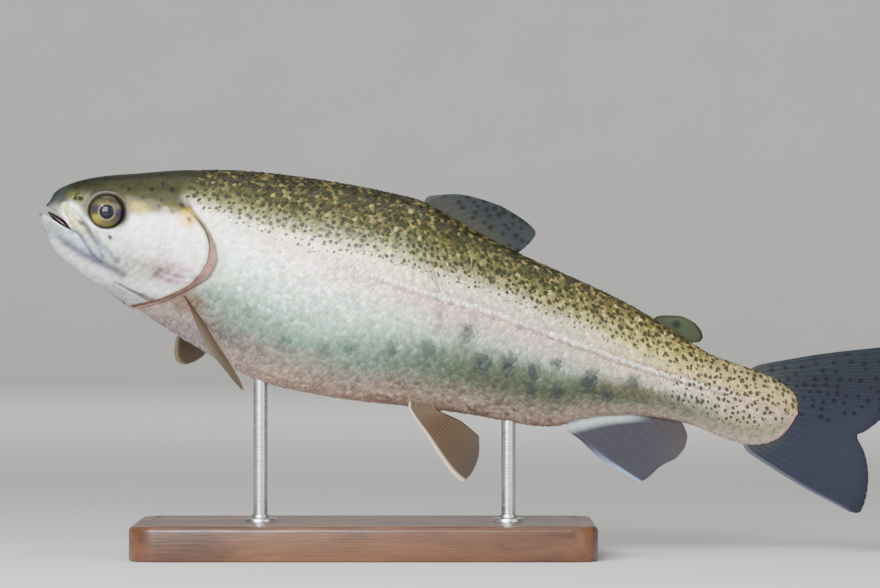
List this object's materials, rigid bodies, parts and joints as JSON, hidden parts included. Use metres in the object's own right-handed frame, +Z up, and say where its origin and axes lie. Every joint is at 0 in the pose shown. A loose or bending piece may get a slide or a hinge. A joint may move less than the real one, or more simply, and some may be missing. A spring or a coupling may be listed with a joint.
{
  "type": "rainbow trout, still display model on a stand",
  "caption": "Life-size still model of a rainbow trout, head slightly up and mouth a little open, held by rods on a flat wooden base.",
  "frame": {"origin": "centre of the stand base's flat underside, which rests on the floor", "axes": "+X along the fish from head to tail, +Z up, and the fish's left side faces -Y"},
  "size_m": [0.3096, 0.09, 0.1344],
  "materials": {
    "skin": "silvery scaled skin, olive and spotted on the back",
    "eyes": "clear glossy dome over a dark pupil and olive-gold iris",
    "grey_fins": "thin translucent grey fin with rays",
    "tail_fin": "thin slate-blue fin with rays and dark spots",
    "pale_fins": "thin translucent tan fin with rays and a pale edge",
    "stand_wood": "satin dark wood",
    "stand_metal": "brushed steel rod"
  },
  "bodies": {
    "root": {"head": "skin", "lower_jaw": "skin", "gill_cover_left": "skin", "gill_cover_right": "skin", "trunk": "skin", "tail_stem": "skin", "eye_left": "eyes", "eye_right": "eyes", "dorsal_fin": "grey_fins", "adipose_fin": "grey_fins", "anal_fin": "grey_fins", "caudal_fin": "tail_fin", "pectoral_fin_left": "pale_fins", "pectoral_fin_right": "pale_fins", "pelvic_fin_left": "pale_fins", "pelvic_fin_right": "pale_fins", "stand_base": "stand_wood", "stand_rod_front": "stand_metal", "stand_rod_rear": "stand_metal"}
  },
  "joints": []
}
